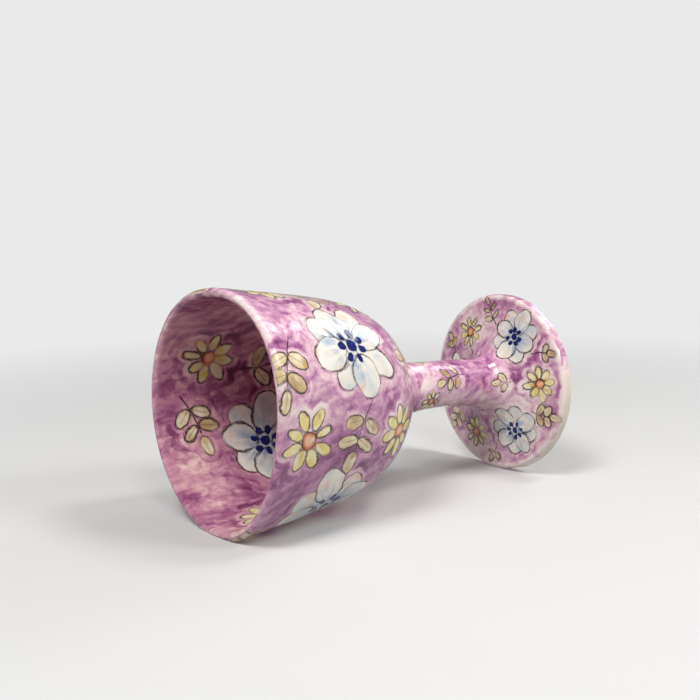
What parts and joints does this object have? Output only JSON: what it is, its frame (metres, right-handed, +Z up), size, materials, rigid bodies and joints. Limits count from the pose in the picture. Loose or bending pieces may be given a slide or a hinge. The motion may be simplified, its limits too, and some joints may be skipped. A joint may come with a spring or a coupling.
{
  "type": "stoneware goblet",
  "caption": "Hand-built glazed stoneware goblet: a deep round-bottomed bowl luted to a short waisted stem and a broad flared foot.",
  "frame": {"origin": "centre of the ring that the goblet stands on, in the plane of the table", "axes": "+Z up the goblet's axis towards the mouth; X and Y lie across the round foot"},
  "size_m": [0.086, 0.086, 0.15],
  "materials": {
    "clay": "fired stoneware, matt cream",
    "slip": "fired slip, matt",
    "bowl_outside_glaze": "clear gloss over brushed lilac wash and painted flowers",
    "bowl_inside_glaze": "clear gloss over brushed purple wash and painted flowers",
    "stem_glaze": "clear gloss over brushed lilac wash",
    "foot_glaze": "clear gloss over brushed lilac wash and painted flowers",
    "underfoot_glaze": "clear gloss over pale clay"
  },
  "bodies": {
    "root": {"bowl": "clay", "stem": "clay", "foot": "clay", "bowl_slip": "slip", "foot_slip": "slip", "bowl_outside_glaze": "bowl_outside_glaze", "bowl_inside_glaze": "bowl_inside_glaze", "stem_glaze": "stem_glaze", "foot_glaze": "foot_glaze", "underfoot_glaze": "underfoot_glaze"}
  },
  "joints": []
}
